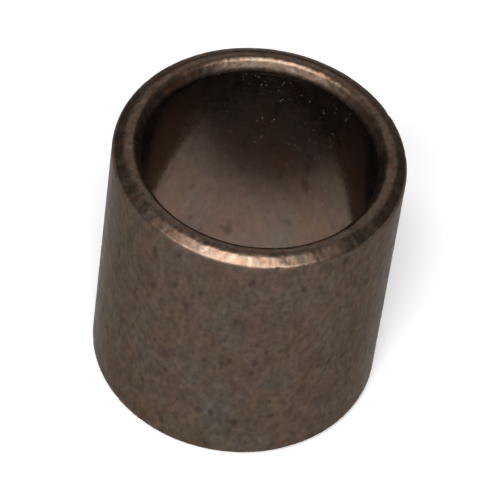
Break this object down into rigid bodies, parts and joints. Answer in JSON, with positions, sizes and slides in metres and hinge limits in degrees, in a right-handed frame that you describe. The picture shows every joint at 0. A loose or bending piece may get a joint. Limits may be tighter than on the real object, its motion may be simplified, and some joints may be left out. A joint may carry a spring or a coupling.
{
  "type": "sleeve bushing",
  "caption": "Plain sintered bronze sleeve bushing: a thin-walled tube with chamfered ends that presses into a housing and carries a turning shaft in its bore.",
  "frame": {"origin": "centre of the lower end face, on the bore's axis", "axes": "+Z along the bore, from the lower end face to the upper one; X and Y are any two directions across it, because the part is round"},
  "size_m": [0.016, 0.016, 0.0167],
  "materials": {
    "sintered_bronze": "satin"
  },
  "bodies": {
    "root": {"sleeve": "sintered_bronze"}
  },
  "joints": []
}
